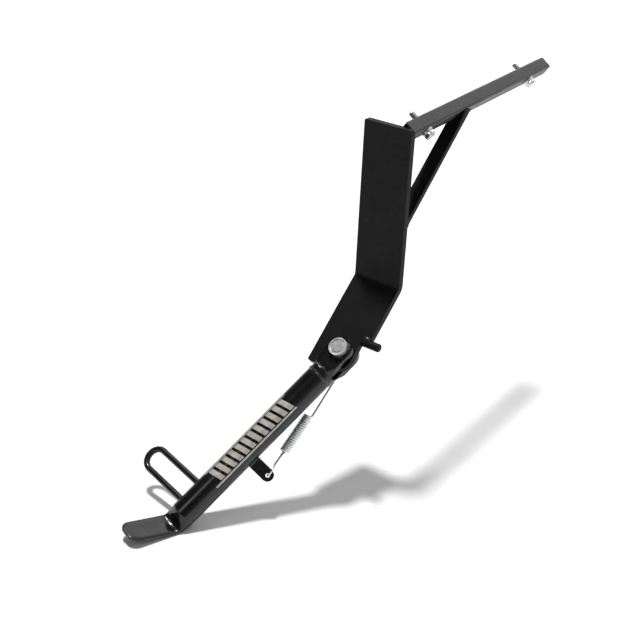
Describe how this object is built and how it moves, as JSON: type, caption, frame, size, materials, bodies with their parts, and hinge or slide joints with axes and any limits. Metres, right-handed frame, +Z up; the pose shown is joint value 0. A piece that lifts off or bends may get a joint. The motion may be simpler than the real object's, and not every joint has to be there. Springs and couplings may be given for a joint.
{
  "type": "motorcycle side stand",
  "caption": "Sprung side stand: tube leg with foot and loop, forked on a bent bracket plate with braced cross bar.",
  "frame": {"origin": "where the near fixing bolt leaves the seating face of the cross bar, on the bolt's axis", "axes": "+X along the width of the bracket plate, towards the rear of the machine; +Y along the cross bar, inboard; +Z up"},
  "size_m": [0.1703, 0.5366, 0.3649],
  "materials": {
    "satin_black": "satin",
    "gloss_black": "gloss",
    "zinc_fixings": "satin",
    "zinc_pivot": "satin",
    "zinc_spring": "gloss",
    "silver_pattern": "satin"
  },
  "bodies": {
    "bracket": {"bracket_plate": "satin_black", "cross_bar": "satin_black", "brace": "satin_black", "stop_lug": "satin_black", "spring_post": "satin_black", "mount_bolts": "zinc_fixings", "mount_washers": "zinc_fixings", "weld_bar": "satin_black", "weld_brace": "satin_black", "weld_lug": "satin_black", "weld_post": "satin_black"},
    "leg": {"leg_tube": "gloss_black", "fork_root": "gloss_black", "fork_front_ear": "gloss_black", "fork_rear_ear": "gloss_black", "pivot_bolt": "zinc_pivot", "pivot_nut": "zinc_pivot", "tube_end": "gloss_black", "foot_plate": "gloss_black", "foot_loop": "gloss_black", "spring_tab": "gloss_black", "leg_decal": "silver_pattern", "weld_fork": "gloss_black", "weld_ring": "gloss_black", "weld_tab": "gloss_black", "weld_loop": "gloss_black", "return_spring": "zinc_spring"}
  },
  "joints": [
    {"name": "leg_pivot", "type": "hinge", "parent": "bracket", "child": "leg", "pos_m": [-0.00609, -0.08602, -0.20774], "axis": [0, -0.6691, 0.7431], "range_deg": [0, 104], "deforming": ["return_spring"]}
  ]
}
